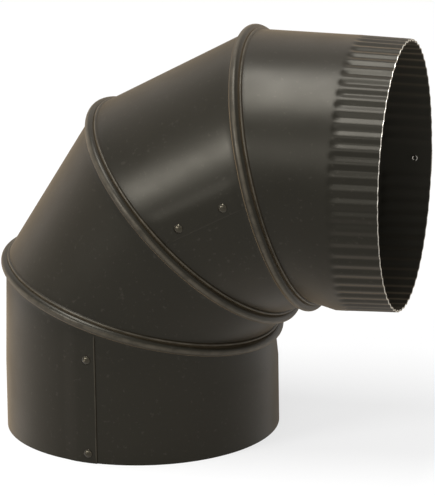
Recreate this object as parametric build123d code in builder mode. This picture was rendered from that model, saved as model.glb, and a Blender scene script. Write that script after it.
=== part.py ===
"""Adjustable stove pipe elbow: four sheet-steel gores joined by three beaded swivels.

Millimetres. The origin is the centre of the plain end's rim, +Z runs up the plain end's axis,
and the crimped end points along +X. The bend lies in the XZ plane, throat towards +X.
"""
import os
from math import cos, degrees, radians, sin, tan

from build123d import *

# Sheet and pipe
SHEET = 0.6
PIPE_RADIUS = 76.8
BEND_ANGLE = 90.0
SWIVEL_COUNT = 3

# Lengths along the gores' axes, from rim or swivel to the next
PLAIN_LENGTH = 74.0
MIDDLE_LENGTH = 58.0
CRIMPED_LENGTH = 73.0
SOCKET_LENGTH = 38.0
SPIGOT_LENGTH = 6.0

# Swivel beads, as a section through the sheet
RING_FLARE = 1.0
BEAD_RADIUS = 2.9
BEAD_ROOT = 1.0
BEAD_SHIFT = 3.5
SWIVEL_CLEARANCE = 0.3
STOP_GROOVE = 0.75
STOP_WIDTH = 1.85
STOP_HEIGHT = 1.05
STOP_ROOT = 0.25

# Crimped collar
CRIMP_LENGTH = 28.5
CRIMP_TAPER = 0.7
CRIMP_RUN_IN = 5.5
FLUTE_COUNT = 64
FLUTES_LEFT_OUT = 2
FLUTE_DEPTH = 1.0
FLUTE_FLOOR = 1.6
FLUTE_FLANK_ANGLE = 62.0

# Riveted lap seam; angles are measured about the gore's axis from its throat
SEAM_ANGLE = -100.0
UPPER_SEAM_ANGLE = -95.0
LAP_WIDTH = 11.0
LAP_RAMP = 4.5
WALL_FACES = 16
RIVET_HEAD_RADIUS = 2.6
RIVET_HEAD_HEIGHT = 1.3
RIVET_SHANK_RADIUS = 1.7
RIVET_TAIL_HEIGHT = 0.25
RIVET_CLEARANCE = 0.08
RIM_TO_RIVET = 5.5
PLAIN_RIVET_TO_SWIVEL = 16.5
MIDDLE_RIVET_INSET = 12.5
CRIMP_RIVET_TO_RIM = 10.0

BACK_SEAM_ANGLE = SEAM_ANGLE + 180
CUT_ANGLE = BEND_ANGLE / (2 * SWIVEL_COUNT)
RING_RADIUS = PIPE_RADIUS + RING_FLARE
CROWN_RADIUS = RING_RADIUS + BEAD_ROOT
INNER_BEAD_RADIUS = BEAD_RADIUS - SHEET - SWIVEL_CLEARANCE
STOP_START = INNER_BEAD_RADIUS + STOP_GROOVE
STOP_END = STOP_START + STOP_WIDTH
BEAD_START = BEAD_RADIUS + BEAD_ROOT


def along(lean):
    """Unit vector leaning from +Z towards +X by an angle in degrees."""
    return Vector(sin(radians(lean)), 0, cos(radians(lean)))


def station(centre, lean):
    """Plane square to a leaning axis, with its x towards the throat and its y towards +Y."""
    return Plane(origin=centre, x_dir=along(lean + 90), z_dir=along(lean))


# Swivel planes: each leans half a gore's turn past the gore before it
swivels = []
corner = Vector(0, 0, 0)
for index in range(SWIVEL_COUNT):
    corner += along(2 * CUT_ANGLE * index) * (PLAIN_LENGTH if index == 0 else MIDDLE_LENGTH)
    lean = CUT_ANGLE * (2 * index + 1)
    swivels.append(station(corner + along(lean) * BEAD_SHIFT, lean))
outlet = station(corner + along(BEND_ANGLE) * CRIMPED_LENGTH, BEND_ANGLE)
crimp_start = outlet.offset(-CRIMP_LENGTH)

# Walls run straight between these round stations: a plane and its outer radius
plain_wall = [(Plane.XY.offset(SOCKET_LENGTH), PIPE_RADIUS), (swivels[0].offset(-BEAD_START), RING_RADIUS)]
lower_wall = [(swivels[0].offset(STOP_END), RING_RADIUS), (swivels[1].offset(-BEAD_START), RING_RADIUS)]
upper_wall = [(swivels[1].offset(STOP_END), RING_RADIUS), (swivels[2].offset(-BEAD_START), RING_RADIUS)]
crimped_wall = [(swivels[2].offset(STOP_END), RING_RADIUS), (crimp_start.offset(-SPIGOT_LENGTH), PIPE_RADIUS)]
socket_wall = [(Plane.XY, PIPE_RADIUS), plain_wall[0]]
spigot_wall = [crimped_wall[1], (crimp_start, PIPE_RADIUS)]
collar_wall = [spigot_wall[1], (outlet, PIPE_RADIUS - CRIMP_TAPER)]


def on_circle(radius, angle):
    """Point of a sketch at a radius and an angle in degrees."""
    return (radius * cos(radians(angle)), radius * sin(radians(angle)))


def lap_angles(radius, seam_angle):
    """Angles of the lap's cut edge, of its back, and of the foot of the ramp behind it."""
    half_lap = degrees(LAP_WIDTH / radius) / 2
    back = seam_angle - half_lap
    return seam_angle + half_lap, back, back - degrees(LAP_RAMP / radius)


def arc(radius, low, high):
    """Edge round the axis between two angles in degrees."""
    return Edge.make_circle(radius, start_angle=low, end_angle=high)


def straight(start, end):
    """Straight edge between two points of a sketch."""
    return Edge.make_line(start, end)


def round_the_rest(radius, foot, edge, faces):
    """Arcs the long way round from the lap's edge to the ramp's foot, one for each face of the wall."""
    turn = (foot + 360 - edge) / faces
    return [arc(radius, edge + index * turn, edge + (index + 1) * turn) for index in range(faces)]


def lapped_outline(plane, radius, seam_angle, faces=WALL_FACES):
    """Outside of a rolled sheet: a circle with the lap's step, its width one sheet proud, and a ramp back."""
    edge, back, foot = lap_angles(radius, seam_angle)
    ramp = straight(on_circle(radius, foot), on_circle(radius + SHEET, back))
    step = straight(on_circle(radius + SHEET, edge), on_circle(radius, edge))
    edges = [ramp, arc(radius + SHEET, back, edge), step, *round_the_rest(radius, foot, edge, faces)]
    return plane.location * Face(Wire(edges))


def inside_outline(plane, radius, seam_angle):
    """Inside of the sheet at a station, in the same arcs as its outside."""
    edge, back, foot = lap_angles(radius, seam_angle)
    inner = radius - SHEET
    edges = [arc(inner, foot, back), arc(inner, back, edge), *round_the_rest(inner, foot, edge, WALL_FACES)]
    return plane.location * Face(Wire(edges))


def inside_circle(plane, radius):
    """Inside of the sheet at a station, as one circle."""
    with BuildSketch(plane) as circle:
        Circle(radius - SHEET)
    return circle.sketch


def lapped_wall(wall, seam_angle):
    """Sheet wall ruled between the round outlines of two stations, with its lap seam."""
    loft([lapped_outline(*end, seam_angle) for end in wall], ruled=True, clean=False)
    loft([inside_outline(*end, seam_angle) for end in wall], ruled=True, clean=False, mode=Mode.SUBTRACT)


def swivel_section(swivel):
    """Section plane through a swivel: x is the radius, y runs along the swivel's axis."""
    return Plane(swivel.origin, x_dir=swivel.x_dir, z_dir=-swivel.y_dir)


def hidden_half_round(radius):
    """Half round of a bead's unseen face, in flats, from its plain side to its crimped side."""
    return [(CROWN_RADIUS + radius * cos(radians(a)), radius * sin(radians(a))) for a in (-90, -30, 30, 90)]


def outer_bead(swivel):
    """Half-round bead that the gore on the plain side rolls over its neighbour, about the swivel's axis."""
    with BuildSketch(swivel_section(swivel)) as section:
        with BuildLine():
            inside = hidden_half_round(BEAD_RADIUS - SHEET)
            Line((RING_RADIUS, -BEAD_START), (CROWN_RADIUS, -BEAD_RADIUS))
            crest = ThreePointArc(
                (CROWN_RADIUS, -BEAD_RADIUS),
                (CROWN_RADIUS + BEAD_RADIUS, 0),
                (CROWN_RADIUS, BEAD_RADIUS),
            )
            Polyline(crest @ 1, *reversed(inside), (RING_RADIUS - SHEET, -BEAD_START), (RING_RADIUS, -BEAD_START))
        make_face()
    revolve(section.sketch, axis=Axis(swivel.origin, swivel.z_dir), clean=False)


def inner_bead(swivel):
    """Bead held inside the outer one, with the low stop ridge that shows beside the outer bead's edge."""
    ridge_middle = (STOP_START + STOP_END) / 2
    shoulder = STOP_WIDTH / 4
    crest = RING_RADIUS + STOP_HEIGHT
    inside = RING_RADIUS - SHEET
    with BuildSketch(swivel_section(swivel)) as section:
        with BuildLine():
            Polyline(
                *hidden_half_round(INNER_BEAD_RADIUS),
                (RING_RADIUS + STOP_ROOT, STOP_START),
                (crest, ridge_middle - shoulder),
                (crest, ridge_middle + shoulder),
                (RING_RADIUS, STOP_END),
                (inside, STOP_END),
                (crest - SHEET, ridge_middle),
                (inside, INNER_BEAD_RADIUS),
                *reversed(hidden_half_round(INNER_BEAD_RADIUS - SHEET)),
                close=True,
            )
        make_face()
    revolve(section.sketch, axis=Axis(swivel.origin, swivel.z_dir), clean=False)


def seat_on(wall, angle, distance):
    """Plane on a wall's outside, z outwards, at a distance along the wall's straight line at that angle."""
    ends = []
    turns = []
    for plane, radius in wall:
        across = plane.x_dir * cos(radians(angle)) + plane.y_dir * sin(radians(angle))
        ends.append(plane.origin + across * radius)
        turns.append(plane.y_dir * cos(radians(angle)) - plane.x_dir * sin(radians(angle)))
    rise = ends[1] - ends[0]
    share = distance / rise.length if distance > 0 else 1 + distance / rise.length
    around = turns[0] * (1 - share) + turns[1] * share
    return Plane(ends[0] + rise * share, x_dir=rise, z_dir=around.cross(rise))


def rivet_holes(seats):
    """Round holes through both layers of the lap."""
    for seat in seats:
        with BuildSketch(seat) as hole:
            Circle(RIVET_SHANK_RADIUS + RIVET_CLEARANCE)
        extrude(hole.sketch, amount=4 * SHEET, both=True, clean=False, mode=Mode.SUBTRACT)


def rivet(seat):
    """Domed head on the lap and a shank through both layers, upset a little inside."""
    dome_radius = (RIVET_HEAD_RADIUS**2 + RIVET_HEAD_HEIGHT**2) / (2 * RIVET_HEAD_HEIGHT)
    under = SHEET + RIVET_CLEARANCE
    top = under + RIVET_HEAD_HEIGHT
    tail = -SHEET - RIVET_TAIL_HEIGHT
    with BuildSketch(Plane(seat.origin, x_dir=seat.x_dir, z_dir=-seat.y_dir)) as section:
        with BuildLine():
            RadiusArc((0, top), (RIVET_HEAD_RADIUS, under), dome_radius)
            Polyline(
                (RIVET_HEAD_RADIUS, under),
                (RIVET_SHANK_RADIUS, under),
                (RIVET_SHANK_RADIUS, tail),
                (0, tail),
                (0, top),
            )
        make_face()
    revolve(section.sketch, axis=Axis(seat.origin, seat.z_dir))


def fluted_core(inset):
    """Solid collar out to one face of its sheet, with the flutes pressed in all round but at the lap.

    A flute is a flat-floored groove that runs in from nothing, then follows the collar's taper to the rim.
    """
    reach = 2 * FLUTE_DEPTH
    spread = 2 * reach * tan(radians(FLUTE_FLANK_ANGLE))
    floor_end = PIPE_RADIUS - FLUTE_DEPTH
    with BuildPart() as flute:
        with BuildLine(Plane.XZ) as path:
            Polyline(
                (PIPE_RADIUS, 0),
                (floor_end, CRIMP_RUN_IN),
                (floor_end - 2 * CRIMP_TAPER, 2 * CRIMP_LENGTH - CRIMP_RUN_IN),
            )
        with BuildSketch(Plane(path.line @ 0, x_dir=(0, 1, 0), z_dir=path.line % 0)):
            with BuildLine():
                Polyline(
                    (-FLUTE_FLOOR / 2, 0),
                    (FLUTE_FLOOR / 2, 0),
                    (FLUTE_FLOOR / 2 + spread / 2, -reach),
                    (-FLUTE_FLOOR / 2 - spread / 2, -reach),
                    close=True,
                )
            make_face()
            if inset:
                offset(amount=inset, kind=Kind.INTERSECTION, mode=Mode.REPLACE)
        sweep(transition=Transition.RIGHT)
    pitch = 360 / FLUTE_COUNT
    first = BACK_SEAM_ANGLE + (FLUTES_LEFT_OUT + 1) / 2 * pitch
    run = (FLUTE_COUNT - FLUTES_LEFT_OUT - 1) * pitch
    with BuildPart(crimp_start) as core:
        if inset:
            loft([inside_circle(*end) for end in collar_wall], ruled=True)
        else:
            loft([lapped_outline(*end, BACK_SEAM_ANGLE, 1) for end in collar_wall], ruled=True)
        with PolarLocations(0, FLUTE_COUNT - FLUTES_LEFT_OUT, first, run, endpoint=True):
            add(flute.part, mode=Mode.SUBTRACT)
    return core.part


os.makedirs("parts", exist_ok=True)

# Plain end: a straight socket that leans into the first swivel, seam at the front
plain_seats = [
    seat_on(socket_wall, SEAM_ANGLE, RIM_TO_RIVET),
    seat_on(plain_wall, SEAM_ANGLE, -PLAIN_RIVET_TO_SWIVEL),
]
with BuildPart() as plain_end_gore:
    extrude(lapped_outline(*socket_wall[0], SEAM_ANGLE), amount=SOCKET_LENGTH)
    extrude(inside_circle(*socket_wall[0]), amount=SOCKET_LENGTH, mode=Mode.SUBTRACT)
    lapped_wall(plain_wall, SEAM_ANGLE)
    outer_bead(swivels[0])
    rivet_holes(plain_seats)
plain_end_gore.part.label = "plain_end_gore"
export_step(plain_end_gore.part, "parts/plain_end_gore.step")

with BuildPart() as plain_end_rivets:
    for seat in plain_seats:
        rivet(seat)
plain_end_rivets.part.label = "plain_end_rivets"
export_step(plain_end_rivets.part, "parts/plain_end_rivets.step")

# Lower middle gore: cut from the same pipe and turned half round, so its seam is at the back
lower_seats = [seat_on(lower_wall, BACK_SEAM_ANGLE, inset) for inset in (MIDDLE_RIVET_INSET, -MIDDLE_RIVET_INSET)]
with BuildPart() as lower_gore:
    lapped_wall(lower_wall, BACK_SEAM_ANGLE)
    inner_bead(swivels[0])
    outer_bead(swivels[1])
    rivet_holes(lower_seats)
lower_gore.part.label = "lower_gore"
export_step(lower_gore.part, "parts/lower_gore.step")

with BuildPart() as lower_rivets:
    for seat in lower_seats:
        rivet(seat)
lower_rivets.part.label = "lower_rivets"
export_step(lower_rivets.part, "parts/lower_rivets.step")

# Upper middle gore: turned back again, seam at the front
upper_seats = [seat_on(upper_wall, UPPER_SEAM_ANGLE, inset) for inset in (MIDDLE_RIVET_INSET, -MIDDLE_RIVET_INSET)]
with BuildPart() as upper_gore:
    lapped_wall(upper_wall, UPPER_SEAM_ANGLE)
    inner_bead(swivels[1])
    outer_bead(swivels[2])
    rivet_holes(upper_seats)
upper_gore.part.label = "upper_gore"
export_step(upper_gore.part, "parts/upper_gore.step")

with BuildPart() as upper_rivets:
    for seat in upper_seats:
        rivet(seat)
upper_rivets.part.label = "upper_rivets"
export_step(upper_rivets.part, "parts/upper_rivets.step")

# Crimped end: leans out of the last swivel to a straight run and the fluted collar
crimped_seats = [
    seat_on(crimped_wall, BACK_SEAM_ANGLE, MIDDLE_RIVET_INSET),
    seat_on(collar_wall, BACK_SEAM_ANGLE, -CRIMP_RIVET_TO_RIM),
]
collar_outside = fluted_core(0)
collar_inside = fluted_core(SHEET)
with BuildPart() as crimped_end_gore:
    add(collar_outside)
    add(collar_inside, mode=Mode.SUBTRACT)
    extrude(lapped_outline(*spigot_wall[0], BACK_SEAM_ANGLE), amount=SPIGOT_LENGTH)
    extrude(inside_circle(*spigot_wall[0]), amount=SPIGOT_LENGTH, mode=Mode.SUBTRACT)
    lapped_wall(crimped_wall, BACK_SEAM_ANGLE)
    inner_bead(swivels[2])
    rivet_holes(crimped_seats)
crimped_end_gore.part.label = "crimped_end_gore"
export_step(crimped_end_gore.part, "parts/crimped_end_gore.step")

with BuildPart() as crimped_end_rivets:
    for seat in crimped_seats:
        rivet(seat)
crimped_end_rivets.part.label = "crimped_end_rivets"
export_step(crimped_end_rivets.part, "parts/crimped_end_rivets.step")
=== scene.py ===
"""Black adjustable stove pipe elbow: four rolled sheet-steel gores that turn in one another's beads."""

import bpy
import numpy as np
from mathutils import Matrix


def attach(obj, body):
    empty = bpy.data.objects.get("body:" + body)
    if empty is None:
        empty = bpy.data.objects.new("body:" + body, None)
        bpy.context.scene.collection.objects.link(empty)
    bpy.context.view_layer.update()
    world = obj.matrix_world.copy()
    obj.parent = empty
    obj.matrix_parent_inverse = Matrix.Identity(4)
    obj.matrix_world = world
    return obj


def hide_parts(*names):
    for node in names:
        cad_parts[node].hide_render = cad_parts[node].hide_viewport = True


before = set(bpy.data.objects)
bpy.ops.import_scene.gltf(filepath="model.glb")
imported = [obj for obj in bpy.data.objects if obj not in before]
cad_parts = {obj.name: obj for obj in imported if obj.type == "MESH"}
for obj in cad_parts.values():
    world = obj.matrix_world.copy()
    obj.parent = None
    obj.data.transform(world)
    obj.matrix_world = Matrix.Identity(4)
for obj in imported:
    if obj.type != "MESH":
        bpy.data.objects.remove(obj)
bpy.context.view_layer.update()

# Plain end gore: the bottom length of pipe, one rolled steel sheet with a riveted lap seam at the front.
# It is painted satin black; its top is rolled into the outer bead that grips the next gore.
sheet = 0.0006
pipe_radius = 0.0768
plain_length = 0.074
socket_length = 0.038
turn_per_gore = 30.0
ring_radius = 0.0778
crown_radius = 0.0788
bead_radius = 0.00286
bead_start = 0.0039
bead_shift = 0.0035
bead_edge_radius = crown_radius - 0.0001
lap_width = 0.011
lap_ramp = 0.010
sharp_edge = 0.00025
# Painted highlight along the lap's cut edge: where it sits, how far it reaches and how strong it is, as
# angles and a share.
seam_highlight_inset_angle = 0.0085
seam_highlight_reach_angle = 0.0045
seam_highlight_most = 0.7
# Painted highlight on the bead's crest, with rubbed paint: strongest at this radius, fading over this
# depth below it.
bead_crest = 0.0817
bead_highlight_depth = 0.0004
front_seam = np.radians(-100.0)
steps_round = 240
step_room = 0.006
crease_angle = np.radians(38.0)
across_bend = np.array([0.0, 1.0, 0.0])
paint_dark = (0.0026, 0.0025, 0.0014)
paint_light = (0.0042, 0.0039, 0.0023)
paint_dust = (0.045, 0.040, 0.033)
# The lighter rubbed colour below also paints the highlight on bead crests, stop ridges and the lap edge.
paint_rubbed_highlight = (0.052, 0.044, 0.032)
paint_inside = (0.026, 0.0245, 0.0195)
bare_steel = (0.50, 0.47, 0.42)


def along(lean):
    """Unit vector leaning from straight up towards the outlet, by an angle in degrees."""
    return np.array([np.sin(np.radians(lean)), 0.0, np.cos(np.radians(lean))])


def hoop(centre, lean, radius):
    """One round station of a wall as seven numbers: centre, spoke towards the throat, radius across."""
    return np.concatenate([centre, radius * along(lean + 90.0), [radius]])


def straight_wall(first, last, shares):
    """Stations along a sheet that runs straight from one hoop to another, at these shares of the way."""
    return first + np.asarray(shares)[:, None] * (last - first)


def turned(centre, lean, section):
    """Stations of a section turned about a swivel's axis; a section point is a radius and a height."""
    section = np.asarray(section)
    spokes = section[:, :1] * along(lean + 90.0)
    return np.hstack([centre + section[:, 1:] * along(lean), spokes, section[:, :1]])


def half_round(radius, first, last, count):
    """Points of a bead's round, from one angle to another in degrees, about the crown circle."""
    a = np.radians(np.linspace(first, last, count))
    return np.stack([crown_radius + radius * np.cos(a), radius * np.sin(a)], axis=1)


def from_seam(angles, seam):
    """Angle from a seam's middle, the short way round."""
    return (angles - seam + np.pi) % (2 * np.pi) - np.pi


def lap_lift(angles, seam, edge_width):
    """How far the lapped sheet stands out from the pipe.

    One sheet over the lap, times a straight cut edge at one side and a smooth ramp at the other.
    """
    way = from_seam(angles, seam)
    half = lap_width / pipe_radius / 2
    ramp = np.clip((way + half) * pipe_radius / lap_ramp + 1.0, 0.0, 1.0)
    edge = np.clip((half - way) * pipe_radius / edge_width, 0.0, 1.0)
    return sheet * (3 * ramp**2 - 2 * ramp**3) * edge


def painted_seam_highlight(angles, seam):
    """Painted highlight along the lap's cut edge, in the rubbed colour: most just inside the edge, nothing
    a little way off.
    """
    middle = lap_width / pipe_radius / 2 - seam_highlight_inset_angle
    return np.clip(1.0 - np.abs(from_seam(angles, seam) - middle) / seam_highlight_reach_angle, 0.0, seam_highlight_most)


def round_angles(seam):
    """Angles once round the pipe, with more of them beside the lap's edge and on its ramp."""
    half = lap_width / pipe_radius / 2
    by_edge = np.array([-0.0130, -0.0085, -0.0050, -0.0034, -0.0022, -0.0011, 0.0, 0.0012, 0.0040])
    on_ramp = np.linspace(0.0, lap_ramp / pipe_radius, 7)
    fixed = from_seam(np.concatenate([seam + half + by_edge, seam - half - on_ramp]), 0.0)
    spread = np.linspace(-np.pi, np.pi, steps_round, endpoint=False)
    free = spread[np.abs(spread[:, None] - fixed[None, :]).min(axis=1) > step_room]
    return np.sort(np.concatenate([free, fixed]))


def rolled_sheet(name, stations, angles, lift, marks):
    """A closed skin of rings, which closes on itself both round the pipe and from ring to ring.

    Point = centre + (1 + lift / radius) (cos angle * spoke + sin angle * radius * across the bend).
    """
    centre, spoke, across = stations[:, None, :3], stations[:, None, 3:6], stations[:, None, 6:]
    c, s = np.cos(angles)[None, :, None], np.sin(angles)[None, :, None]
    swell = 1.0 + lift[..., None] / across
    points = centre + swell * (c * spoke + s * across * across_bend)
    rings, steps = points.shape[:2]
    below = np.arange(rings * steps).reshape(rings, steps)
    above = np.roll(below, -1, axis=0)
    corners = [below, np.roll(below, -1, axis=1), np.roll(above, -1, axis=1), above]
    mesh = bpy.data.meshes.new(name)
    mesh.from_pydata(points.reshape(-1, 3), [], np.stack(corners, axis=-1).reshape(-1, 4))
    for label, values in marks.items():
        values = np.broadcast_to(values, (rings, steps)).ravel().astype(np.float32)
        mesh.attributes.new(label, "FLOAT", "POINT").data.foreach_set("value", values)
    mesh.shade_smooth()
    mesh.set_sharp_from_angle(angle=crease_angle)
    piece = bpy.data.objects.new(name, mesh)
    bpy.context.scene.collection.objects.link(piece)
    return piece


def group_with(name, inputs, outputs):
    """A new shader node group with named sockets; returns it with its input and output nodes."""
    tree = bpy.data.node_groups.new(name, "ShaderNodeTree")
    for label, kind in inputs:
        tree.interface.new_socket(label, in_out="INPUT", socket_type=kind)
    for label, kind in outputs:
        tree.interface.new_socket(label, in_out="OUTPUT", socket_type=kind)
    return tree, tree.nodes.new("NodeGroupInput"), tree.nodes.new("NodeGroupOutput")


def noise(tree, place, scale, detail):
    """A noise texture read at a place."""
    node = tree.nodes.new("ShaderNodeTexNoise")
    node.inputs["Scale"].default_value = scale
    node.inputs["Detail"].default_value = detail
    node.inputs["Roughness"].default_value = 0.55
    tree.links.new(place, node.inputs["Vector"])
    return node.outputs["Fac"]


def between(tree, value, low, high, to_low, to_high):
    """A value moved smoothly from one range to another."""
    node = tree.nodes.new("ShaderNodeMapRange")
    node.interpolation_type = "SMOOTHSTEP"
    ends = {"From Min": low, "From Max": high, "To Min": to_low, "To Max": to_high}
    for socket, number in ends.items():
        node.inputs[socket].default_value = number
    tree.links.new(value, node.inputs["Value"])
    return node.outputs["Result"]


def maths(tree, operation, first, second):
    """One sum of two values; either may be a number."""
    node = tree.nodes.new("ShaderNodeMath")
    node.operation = operation
    for socket, value in zip(node.inputs, (first, second)):
        if isinstance(value, (int, float)):
            socket.default_value = value
        else:
            tree.links.new(value, socket)
    return node.outputs[0]


def blended(tree, share, first, second):
    """Two colours mixed by a share; either may be a fixed colour."""
    node = tree.nodes.new("ShaderNodeMix")
    node.data_type = "RGBA"
    tree.links.new(share, node.inputs["Factor"])
    for socket, value in zip((node.inputs["A"], node.inputs["B"]), (first, second)):
        if isinstance(value, tuple):
            socket.default_value = (*value, 1.0)
        else:
            tree.links.new(value, socket)
    return node.outputs["Result"]


def stove_paint():
    """Baked satin black: a brownish film with a fine tooth, rubbed thin on crests with a painted highlight
    there and along the lap edge, and gone at cut edges.
    """
    tree, given, made = group_with(
        "stove_paint",
        [("Place", "NodeSocketVector"), ("Outside", "NodeSocketFloat"), ("Cut edge", "NodeSocketFloat"),
         ("Rubbed and highlit", "NodeSocketFloat")],
        [("Colour", "NodeSocketColor"), ("Roughness", "NodeSocketFloat"), ("Bare", "NodeSocketFloat"),
         ("Normal", "NodeSocketVector")],
    )
    place, outside = given.outputs["Place"], given.outputs["Outside"]
    cloud = between(tree, noise(tree, place, 9.0, 4.0), 0.35, 0.68, 0.0, 1.0)
    film = blended(tree, cloud, paint_dark, paint_light)
    dust = between(tree, noise(tree, place, 420.0, 2.0), 0.62, 0.74, 0.0, 0.22)
    film = blended(tree, dust, film, paint_dust)
    # Rubbed paint on crests, which is also painted highlight there and along the lap edge.
    rub_highlight_share = between(tree, noise(tree, place, 160.0, 3.0), 0.25, 0.65, 0.35, 1.0)
    rub_highlight_share = maths(tree, "MULTIPLY", rub_highlight_share, given.outputs["Rubbed and highlit"])
    film = blended(tree, rub_highlight_share, film, paint_rubbed_highlight)
    film = blended(tree, outside, paint_inside, film)
    chips = between(tree, noise(tree, place, 900.0, 3.0), 0.30, 0.52, 0.15, 1.0)
    bare = maths(tree, "MULTIPLY", given.outputs["Cut edge"], chips)
    tree.links.new(blended(tree, bare, film, bare_steel), made.inputs["Colour"])
    tree.links.new(bare, made.inputs["Bare"])
    gloss = between(tree, noise(tree, place, 26.0, 5.0), 0.3, 0.7, 0.32, 0.40)
    dull = maths(tree, "MULTIPLY", maths(tree, "SUBTRACT", 1.0, outside), 0.06)
    tree.links.new(maths(tree, "ADD", gloss, dull), made.inputs["Roughness"])
    tooth = maths(tree, "MULTIPLY", noise(tree, place, 1500.0, 2.0), 0.35)
    waves = maths(tree, "MULTIPLY", noise(tree, place, 18.0, 2.0), 6.0)
    relief = tree.nodes.new("ShaderNodeBump")
    relief.inputs["Strength"].default_value = 0.25
    relief.inputs["Distance"].default_value = 0.0002
    tree.links.new(maths(tree, "ADD", tooth, waves), relief.inputs["Height"])
    tree.links.new(relief.outputs["Normal"], made.inputs["Normal"])
    return tree


black_film = stove_paint()


def filmed(name):
    """A new material with the black film read at the piece's own coordinates; returns its parts."""
    material = bpy.data.materials.new(name)
    material.use_nodes = True
    tree = material.node_tree
    film = tree.nodes.new("ShaderNodeGroup")
    film.node_tree = black_film
    place = tree.nodes.new("ShaderNodeTexCoord").outputs["Object"]
    tree.links.new(place, film.inputs["Place"])
    tree.links.new(film.outputs["Normal"], tree.nodes["Principled BSDF"].inputs["Normal"])
    return material, tree, tree.nodes["Principled BSDF"], film, place


def marked(tree, label):
    """One of the piece's own marks as a value."""
    mark = tree.nodes.new("ShaderNodeAttribute")
    mark.attribute_name = label
    return mark.outputs["Fac"]


def gore_paint(name):
    """Paint of a gore: a satin film with a brown dusty sheen, duller where it is seen at a slant."""
    material, tree, shader, film, _ = filmed(name)
    shader.inputs["IOR"].default_value = 1.32
    shader.inputs["Specular Tint"].default_value = (1.0, 0.94, 0.80, 1.0)
    shader.inputs["Sheen Weight"].default_value = 0.22
    shader.inputs["Sheen Roughness"].default_value = 0.42
    shader.inputs["Sheen Tint"].default_value = (1.0, 0.72, 0.42, 1.0)
    # The rubbed mark carries rubbed paint and painted highlight on crests, ridges and the lap edge.
    for socket, label in (("Outside", "outside"), ("Cut edge", "cut_edge"), ("Rubbed and highlit", "rubbed_and_highlit")):
        tree.links.new(marked(tree, label), film.inputs[socket])
    slant = tree.nodes.new("ShaderNodeLayerWeight")
    slant.inputs["Blend"].default_value = 0.5
    dulled = between(tree, slant.outputs["Facing"], 0.45, 0.95, 0.0, 0.32)
    tree.links.new(film.outputs["Colour"], shader.inputs["Base Color"])
    tree.links.new(maths(tree, "ADD", film.outputs["Roughness"], dulled), shader.inputs["Roughness"])
    tree.links.new(film.outputs["Bare"], shader.inputs["Metallic"])
    return material


black_paint = gore_paint("black_paint")


def outer_bead(centre, lean):
    """Outside of the half-round bead from the wall below it, then its cut edge and its inside."""
    root = [(ring_radius, -bead_start), (ring_radius + 0.0002, -bead_start + 0.0005)]
    outside = np.vstack([root, half_round(bead_radius, -80.0, 88.0, 22)])
    edge = [(bead_edge_radius, bead_radius), (bead_edge_radius, bead_radius - sheet)]
    foot = [(ring_radius - sheet, -bead_start)]
    inside = np.vstack([edge, half_round(bead_radius - sheet, 88.0, -88.0, 10), foot])
    return turned(centre, lean, outside), turned(centre, lean, inside)


def rub_and_highlight_rows(rows, crest, depth):
    """How much rubbed paint and painted highlight each ring gets: all at the crest's radius, nothing at a
    depth below it.
    """
    return np.clip((rows[:, 6] - crest) / depth + 1.0, 0.0, 1.0)


def bead_rub_and_highlight(rows):
    """How much rubbed paint and painted highlight each ring of an outer bead gets."""
    return rub_and_highlight_rows(rows, bead_crest, bead_highlight_depth)


def along_wall(count):
    """Shares of the way along a wall, with a station close to either end."""
    return np.concatenate([[0.0], np.linspace(0.05, 0.95, count), [1.0]])


def lining(stations):
    """The inside of a wall: the same stations one sheet further in, in reverse order."""
    inner = stations[::-1].copy()
    inner[:, 3:6] *= 1.0 - sheet / inner[:, 6:]
    inner[:, 6] -= sheet
    return inner


def finish_gore(piece, body):
    """Paint a gore, fix it to its body and let it stand for the plain solid."""
    piece.data.materials.append(black_paint)
    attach(piece, body)
    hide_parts(body + "_gore")


lower_lean = turn_per_gore / 2
lower_corner = plain_length * along(0.0)
lower_swivel = lower_corner + bead_shift * along(lower_lean)
rim = hoop(np.zeros(3), 0.0, pipe_radius)
socket_top = hoop(socket_length * along(0.0), 0.0, pipe_radius)
bead_foot = hoop(lower_swivel - bead_start * along(lower_lean), lower_lean, ring_radius)
plain_wall = np.vstack([
    straight_wall(rim, socket_top, [0.0, 0.004, 0.05, 0.3, 0.6, 0.9]),
    straight_wall(socket_top, bead_foot, along_wall(12)[:-1]),
])
plain_bead, plain_bead_inside = outer_bead(lower_swivel, lower_lean)
plain_rows = np.vstack([plain_wall, plain_bead, plain_bead_inside, lining(plain_wall)])
plain_number = np.arange(len(plain_rows))[:, None]
in_plain_wall = plain_number < len(plain_wall)
plain_angles = round_angles(front_seam)
plain_lap = in_plain_wall * lap_lift(plain_angles, front_seam, sharp_edge)
# Painted highlight along the lap's cut edge.
seam_highlight = in_plain_wall * painted_seam_highlight(plain_angles, front_seam)
# Rubbed paint and painted highlight on the bead's crest and along the lap edge.
plain_rub_and_highlight = np.maximum(bead_rub_and_highlight(plain_rows)[:, None], seam_highlight)
plain_end = rolled_sheet(
    "plain_end", plain_rows, plain_angles, plain_lap,
    {"outside": plain_number < len(plain_wall) + len(plain_bead), "cut_edge": 0.0, "rubbed_and_highlit": plain_rub_and_highlight},
)
finish_gore(plain_end, "plain_end")

# Rivets of the plain end: two soft steel rivets set from outside through the lap, painted with the pipe.
# The heads are low domes; the tails are set nearly flush inside, with a dimple and a bright rim.
rivet_head_radius = 0.0026
rivet_head_height = 0.0013
rivet_head_rim = 0.00012
rivet_shank_radius = 0.0017
rivet_lift = 0.00008
rivet_tail_height = 0.00025
rivet_tail_corner = 0.00005
rivet_dimple = 0.0002
rim_to_rivet = 0.0055
rivet_to_bead = 0.0165
rivet_steps_round = 32
rivet_crease_angle = np.radians(50.0)
rivet_rubbed = (0.16, 0.135, 0.095)


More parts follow.
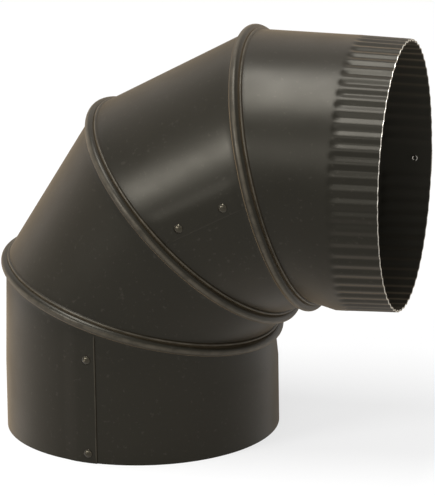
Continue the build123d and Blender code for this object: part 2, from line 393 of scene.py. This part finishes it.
def seat_on(first, last, angle, distance):
    """A rivet's seat on a wall's outside, that far along the straight line at an angle.

    Gives the place and the outward, along and around directions; a minus distance counts from the far end.
    """
    spot, around = [], []
    for end in (first, last):
        spot.append(end[:3] + np.cos(angle) * end[3:6] + np.sin(angle) * end[6] * across_bend)
        around.append(np.cos(angle) * end[6] * across_bend - np.sin(angle) * end[3:6])
    rise = spot[1] - spot[0]
    length = np.linalg.norm(rise)
    rise /= length
    share = distance / length if distance > 0 else 1.0 + distance / length
    outward = np.cross((1.0 - share) * around[0] + share * around[1], rise)
    outward /= np.linalg.norm(outward)
    return spot[0] + share * length * rise, outward, rise, np.cross(outward, rise)


def rivets(name, seats):
    """Rivets, each a section of radius and height turned about its seat's outward direction.

    The dome is an arc through the head's rim and top; two poles close the section's ends.
    """
    under = sheet + rivet_lift
    top = under + rivet_head_height
    tail = -sheet - rivet_tail_height
    dome = (rivet_head_radius**2 + rivet_head_height**2) / (2 * rivet_head_height)
    reach = np.linspace(0.08, 0.985, 10) * rivet_head_radius
    head = np.stack([reach, top - dome + np.sqrt(dome**2 - reach**2)], axis=1)
    neck = [
        (rivet_head_radius, under + rivet_head_rim),
        (rivet_head_radius * 0.985, under),
        (rivet_shank_radius, under),
    ]
    upset = [
        (rivet_shank_radius, tail + rivet_tail_corner),
        (rivet_shank_radius * 0.96, tail),
        (rivet_shank_radius * 0.62, tail),
    ]
    dimple = [(rivet_shank_radius * 0.5, tail + rivet_dimple)]
    section = np.vstack([head, neck, upset, dimple])
    turns = np.linspace(0.0, 2 * np.pi, rivet_steps_round, endpoint=False)
    index = np.arange(len(section) * len(turns)).reshape(len(section), len(turns))
    onward = np.roll(index, -1, axis=1)
    sides = np.stack([index[:-1], index[1:], onward[1:], onward[:-1]], axis=-1).reshape(-1, 4)
    head_pole, tail_pole = np.full(len(turns), index.size), np.full(len(turns), index.size + 1)
    caps = np.vstack([
        np.stack([head_pole, index[0], onward[0]], axis=-1),
        np.stack([tail_pole, onward[-1], index[-1]], axis=-1),
    ])
    points, quads, triangles = [], [], []
    for number, (spot, outward, rise, across) in enumerate(seats):
        spokes = np.cos(turns)[None, :, None] * rise + np.sin(turns)[None, :, None] * across
        swept = section[:, None, :1] * spokes + section[:, None, 1:] * outward
        poles = np.array([top * outward, (tail + rivet_dimple) * outward])
        points.append(spot + np.vstack([swept.reshape(-1, 3), poles]))
        quads += (sides + number * (index.size + 2)).tolist()
        triangles += (caps + number * (index.size + 2)).tolist()
    mesh = bpy.data.meshes.new(name)
    mesh.from_pydata(np.vstack(points), [], quads + triangles)
    bright = np.zeros(index.size + 2, np.float32)
    bright[index[len(head) + len(neck):-1].ravel()] = 1.0
    mesh.attributes.new("upset", "FLOAT", "POINT").data.foreach_set("value", np.tile(bright, len(seats)))
    mesh.shade_smooth()
    mesh.set_sharp_from_angle(angle=rivet_crease_angle)
    piece = bpy.data.objects.new(name, mesh)
    bpy.context.scene.collection.objects.link(piece)
    return piece


def rivet_film(name):
    """Paint of a rivet: the pipe's film, glossier and rubbed on the dome, bare round the tail."""
    material, tree, shader, film, place = filmed(name)
    shader.inputs["Roughness"].default_value = 0.2
    shader.inputs["IOR"].default_value = 1.5
    shader.inputs["Specular Tint"].default_value = (1.0, 0.88, 0.66, 1.0)
    rubbed_and_highlit = between(tree, noise(tree, place, 700.0, 3.0), 0.60, 0.70, 0.0, 0.8)
    colour = blended(tree, rubbed_and_highlit, film.outputs["Colour"], rivet_rubbed)
    tail = marked(tree, "upset")
    tree.links.new(blended(tree, tail, colour, bare_steel), shader.inputs["Base Color"])
    tree.links.new(tail, shader.inputs["Metallic"])
    film.inputs["Outside"].default_value = 1.0
    return material


rivet_paint = rivet_film("rivet_paint")


def finish_rivets(piece, body):
    """Paint a gore's rivets and fix them to the gore."""
    piece.data.materials.append(rivet_paint)
    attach(piece, body)
    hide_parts(body + "_rivets")


plain_seats = [
    seat_on(rim, socket_top, front_seam, rim_to_rivet),
    seat_on(socket_top, bead_foot, front_seam, -rivet_to_bead),
]
finish_rivets(rivets("plain_end_heads", plain_seats), "plain_end")

# Lower middle gore: a short length of the same pipe, turned half round so that its seam is at the back.
# Its bottom is rolled into a bead held inside the plain end's; a low stop ridge shows beside it.
middle_length = 0.058
inner_bead_radius = 0.0020
stop_end = 0.0046
groove_radius = 0.07805
ridge_radius = 0.0789
# Painted highlight on the stop ridge's crest, with rubbed paint: strongest at this radius, fading over
# this depth.
ridge_crest = 0.0788
ridge_highlight_depth = 0.0003
filled_edge = 0.0012
rivet_inset = 0.0125
back_seam = np.radians(80.0)


def softened(section, passes):
    """A section with its corners cut again and again, at a quarter and three quarters of each side."""
    section = np.asarray(section, float)
    for _ in range(passes):
        sides = np.diff(section, axis=0)
        cuts = np.stack([section[:-1] + 0.25 * sides, section[:-1] + 0.75 * sides], axis=1).reshape(-1, 2)
        section = np.vstack([section[:1], cuts, section[-1:]])
    return section


def held_bead(centre, lean):
    """Outside of the held bead, then of its stop ridge up to where the wall starts."""
    held = half_round(inner_bead_radius, -88.0, 80.0, 10)
    ridge = softened([
        (bead_edge_radius, 0.0021), (groove_radius, 0.00265), (ridge_radius, 0.0031),
        (ridge_radius, 0.0041), (ring_radius, 0.0045), (ring_radius, stop_end),
    ], 2)
    return turned(centre, lean, held), turned(centre, lean, ridge)


def held_bead_inside(centre, lean):
    """Inside of the stop ridge and the held bead, back from the wall to the free edge."""
    inner = ring_radius - sheet
    inner_round = inner_bead_radius - sheet
    ridge = softened([(inner, stop_end), (0.0783, 0.0036), (inner, 0.0024), (ring_radius, inner_round)], 1)
    return turned(centre, lean, np.vstack([ridge, half_round(inner_round, 88.0, -88.0, 8)]))


def ridge_rub_and_highlight(rows):
    """How much rubbed paint and painted highlight each ring of a stop ridge gets."""
    return rub_and_highlight_rows(rows, ridge_crest, ridge_highlight_depth)


def middle_gore(name, body, low, low_lean, high, high_lean, seam):
    """A middle gore between two swivels: held bead below, gripping bead above, lap seam at an angle."""
    first = hoop(low + stop_end * along(low_lean), low_lean, ring_radius)
    last = hoop(high - bead_start * along(high_lean), high_lean, ring_radius)
    wall = straight_wall(first, last, along_wall(14)[1:-1])
    held, ridge = held_bead(low, low_lean)
    bead, bead_inside = outer_bead(high, high_lean)
    shown = np.vstack([held, ridge, wall, bead])
    rows = np.vstack([shown, bead_inside, lining(wall), held_bead_inside(low, low_lean)])
    number = np.arange(len(rows))[:, None]
    start = len(held) + len(ridge)
    in_wall = (number >= start) & (number < start + len(wall))
    # Rubbed paint and painted highlight on the bead's crest and on the stop ridge.
    rub_and_highlight = bead_rub_and_highlight(rows)
    rub_and_highlight[len(held):start] = ridge_rub_and_highlight(ridge)
    around = round_angles(seam)
    piece = rolled_sheet(
        name, rows, around, in_wall * lap_lift(around, seam, filled_edge),
        {"outside": number < len(shown), "cut_edge": 0.0, "rubbed_and_highlit": rub_and_highlight[:, None]},
    )
    finish_gore(piece, body)
    seats = [seat_on(first, last, seam, inset) for inset in (rivet_inset, -rivet_inset)]
    finish_rivets(rivets(body + "_heads", seats), body)


middle_lean = lower_lean + turn_per_gore
middle_corner = lower_corner + middle_length * along(turn_per_gore)
middle_swivel = middle_corner + bead_shift * along(middle_lean)
middle_gore("lower_middle", "lower", lower_swivel, lower_lean, middle_swivel, middle_lean, back_seam)

# Upper middle gore: a sheet-steel length like the one below, turned back so that its seam faces the front.
# Two rivets hold its lap, whose edge is nearly filled by the paint.
upper_seam = np.radians(-95.0)
upper_lean = middle_lean + turn_per_gore
upper_corner = middle_corner + middle_length * along(2 * turn_per_gore)
upper_swivel = upper_corner + bead_shift * along(upper_lean)
middle_gore("upper_middle", "upper", middle_swivel, middle_lean, upper_swivel, upper_lean, upper_seam)

# Crimped end gore: the outlet, seam at the back, drawn in at its collar by flutes pressed between rollers.
# The flutes let it slide into the next pipe's plain end; its cut rim is left bare and catches the light.
crimped_length = 0.073
crimp_length = 0.0285
crimp_taper = 0.0007
crimp_run_in = 0.0055
crimp_rivet_to_rim = 0.010
flute_count = 64
flute_depth = 0.0010
flute_roundness = 0.96
spigot_length = 0.006
bare_rim = 0.0003
pitch = 2 * np.pi / flute_count


def flutes(angles, travel):
    """Depth of the flutes at an angle and a distance from the crimp's start.

    Across the flutes: a wave of nearly flat sides with rounded ridges and floors, left out at the lap.
    Along them: a run-in from nothing that levels off as a parabola.
    """
    turn = (angles - back_seam) / pitch
    plain = np.isin(np.floor(turn % flute_count), (0, flute_count - 1))
    run_in = np.clip(travel / crimp_run_in, 0.0, 1.0)
    wave = 0.5 - 0.5 * np.arcsin(flute_roundness * np.cos(2 * np.pi * turn)) / np.arcsin(flute_roundness)
    return np.where(plain, 0.0, flute_depth * (1.0 - (1.0 - run_in)**2) * wave)


outlet_lean = 3 * turn_per_gore
outlet = upper_corner + crimped_length * along(outlet_lean)
crimp_start = outlet - crimp_length * along(outlet_lean)
wall_first = hoop(upper_swivel + stop_end * along(upper_lean), upper_lean, ring_radius)
wall_last = hoop(crimp_start - spigot_length * along(outlet_lean), outlet_lean, pipe_radius)
collar_first = hoop(crimp_start, outlet_lean, pipe_radius)
collar_last = hoop(outlet, outlet_lean, pipe_radius - crimp_taper)
run_in_shares = np.linspace(0.0, crimp_run_in / crimp_length, 8)
collar_shares = np.concatenate([run_in_shares, np.linspace(0.4, 0.97, 4), [0.986, 0.995, 1.0]])
crimped_wall = np.vstack([
    straight_wall(wall_first, wall_last, along_wall(9)[1:]),
    straight_wall(wall_last, collar_first, [0.35, 0.7]),
    straight_wall(collar_first, collar_last, collar_shares),
])
outlet_held, outlet_ridge = held_bead(upper_swivel, upper_lean)
crimped_rows = np.vstack([
    outlet_held, outlet_ridge, crimped_wall, lining(crimped_wall),
    held_bead_inside(upper_swivel, upper_lean),
])
crimped_number = np.arange(len(crimped_rows))[:, None]
wall_start = len(outlet_held) + len(outlet_ridge)
wall_end = wall_start + len(crimped_wall)
in_crimped_wall = (crimped_number >= wall_start) & (crimped_number < wall_end)
in_either_skin = (crimped_number >= wall_start) & (crimped_number < wall_end + len(crimped_wall))
flute_floors = back_seam + pitch * (np.arange(flute_count) + 0.5)
from_floor = np.array([0.0006, 0.00115, 0.0017, 0.00225, 0.0028]) / pipe_radius
in_a_pitch = np.concatenate([[-0.0035 / pipe_radius], -from_floor[::-1], [0.0], from_floor])
flute_angles = (flute_floors[:, None] + in_a_pitch).ravel()
lap_corner = back_seam + lap_width / pipe_radius / 2 + np.array([-0.0034, -0.0017, 0.0])
crimped_angles = np.sort(from_seam(np.concatenate([flute_angles, lap_corner]), 0.0))
travel = ((crimped_rows[:, :3] - crimp_start) @ along(outlet_lean))[:, None]
crimped_lap = in_crimped_wall * lap_lift(crimped_angles, back_seam, sharp_edge)
crimped_lift = crimped_lap - in_either_skin * flutes(crimped_angles, travel)
# Rubbed paint and painted highlight on the stop ridge only.
crimped_rub_and_highlight = np.zeros((len(crimped_rows), 1))
crimped_rub_and_highlight[len(outlet_held):wall_start, 0] = ridge_rub_and_highlight(outlet_ridge)
crimped_end = rolled_sheet(
    "crimped_end", crimped_rows, crimped_angles, crimped_lift,
    {
        "outside": crimped_number < wall_end,
        "cut_edge": in_either_skin & (travel > crimp_length - bare_rim),
        "rubbed_and_highlit": crimped_rub_and_highlight,
    },
)
finish_gore(crimped_end, "crimped_end")
crimped_seats = [
    seat_on(wall_first, wall_last, back_seam, rivet_inset),
    seat_on(collar_first, collar_last, back_seam, -crimp_rivet_to_rim),
]
finish_rivets(rivets("crimped_end_heads", crimped_seats), "crimped_end")

# Studio: a pale floor that keeps the elbow's shadow, before a white backdrop.
# One softbox hangs overhead, one stands at the front left, and a weak one fills from the front.
scene = bpy.context.scene
scene.view_settings.view_transform = "Standard"
floor_half = 8.0
floor_whiteness = 0.72
backdrop_whiteness = 1.0
elbow_middle = (0.05, 0.0, 0.15)
floor_corners = floor_half * np.array([(-1, -1, 0), (1, -1, 0), (1, 1, 0), (-1, 1, 0)])
floor_mesh = bpy.data.meshes.new("floor")
floor_mesh.from_pydata(floor_corners, [], [(0, 1, 2, 3)])
floor = bpy.data.objects.new("floor", floor_mesh)
scene.collection.objects.link(floor)


def seen_white(tree, lit, white, output, share):
    """Show plain white of strength 1 over a lit surface, by a share, to camera, glossy and clear rays."""
    path = tree.nodes.new("ShaderNodeLightPath")
    seen = maths(tree, "MAXIMUM", path.outputs["Is Camera Ray"], path.outputs["Is Glossy Ray"])
    seen = maths(tree, "MAXIMUM", seen, path.outputs["Is Transmission Ray"])
    both = tree.nodes.new("ShaderNodeMixShader")
    tree.links.new(maths(tree, "MULTIPLY", seen, share), both.inputs["Fac"])
    tree.links.new(lit, both.inputs[1])
    tree.links.new(white, both.inputs[2])
    tree.links.new(both.outputs["Shader"], output)


floor_paint = bpy.data.materials.new("floor_paint")
floor_paint.use_nodes = True
floor_mesh.materials.append(floor_paint)
floor_nodes = floor_paint.node_tree.nodes
floor_shader = floor_nodes["Principled BSDF"]
floor_shader.inputs["Base Color"].default_value = (0.88, 0.88, 0.88, 1.0)
floor_shader.inputs["Roughness"].default_value = 0.9
floor_white = floor_nodes.new("ShaderNodeEmission")
seen_white(
    floor_paint.node_tree, floor_shader.outputs["BSDF"], floor_white.outputs["Emission"],
    floor_nodes["Material Output"].inputs["Surface"], floor_whiteness,
)
world = bpy.data.worlds.new("studio")
scene.world = world
world.use_nodes = True
world_nodes = world.node_tree.nodes
backdrop = world_nodes.new("ShaderNodeBackground")
for background in (world_nodes["Background"], backdrop):
    background.inputs["Color"].default_value = (1.0, 1.0, 1.0, 1.0)
world_nodes["Background"].inputs["Strength"].default_value = 0.4
seen_white(
    world.node_tree, world_nodes["Background"].outputs["Background"], backdrop.outputs["Background"],
    world_nodes["World Output"].inputs["Surface"], backdrop_whiteness,
)


def placed(obj, right, up, back, place):
    """Put a lamp or camera in the scene at a place, with its right, up and back directions."""
    turn = np.eye(4)
    turn[:3] = np.stack([right, up, back, place], axis=1)
    scene.collection.objects.link(obj)
    obj.matrix_world = Matrix(turn.tolist())


def softbox(name, place, target, size, power):
    """A rectangular area light at a place, turned to face a target."""
    light = bpy.data.lights.new(name, "AREA")
    light.shape = "RECTANGLE"
    light.size, light.size_y = size
    light.energy = power
    back = np.array(place) - np.array(target)
    back /= np.linalg.norm(back)
    side = np.cross(across_bend, back)
    side /= np.linalg.norm(side)
    placed(bpy.data.objects.new(name, light), side, np.cross(back, side), back, place)


softbox("overhead", (-0.27, -0.12, 2.0), (0.07, 0.0, 0.15), (0.55, 1.2), 36.0)
softbox("front_left", (-1.05, -1.22, 0.97), elbow_middle, (0.5, 0.5), 17.0)
softbox("front", (-0.15, -1.55, 1.15), elbow_middle, (1.0, 0.6), 6.0)

# Camera: a long lens a few metres off, a little above the elbow and to its right.
# The focal length keeps the elbow's size in the picture whatever the distance.
picture_height = 495.0
pixels_per_metre = 1785.6
distance = 4.0
aim = np.array([0.0446, -0.0002, 0.1051])
yaw, lift, roll = np.radians([-13.21, 18.03, -0.9])
view = np.array([np.sin(yaw) * np.cos(lift), np.cos(yaw) * np.cos(lift), -np.sin(lift)])
right = np.array([np.cos(yaw), -np.sin(yaw), 0.0])
up = np.cross(right, view)
camera = bpy.data.cameras.new("camera")
camera.sensor_width = 36.0
camera.lens = pixels_per_metre * distance * camera.sensor_width / picture_height
camera.clip_end = 50.0
eye = bpy.data.objects.new("camera", camera)
rolled_right = right * np.cos(roll) + up * np.sin(roll)
rolled_up = up * np.cos(roll) - right * np.sin(roll)
placed(eye, rolled_right, rolled_up, -view, aim - distance * view)
scene.camera = eye
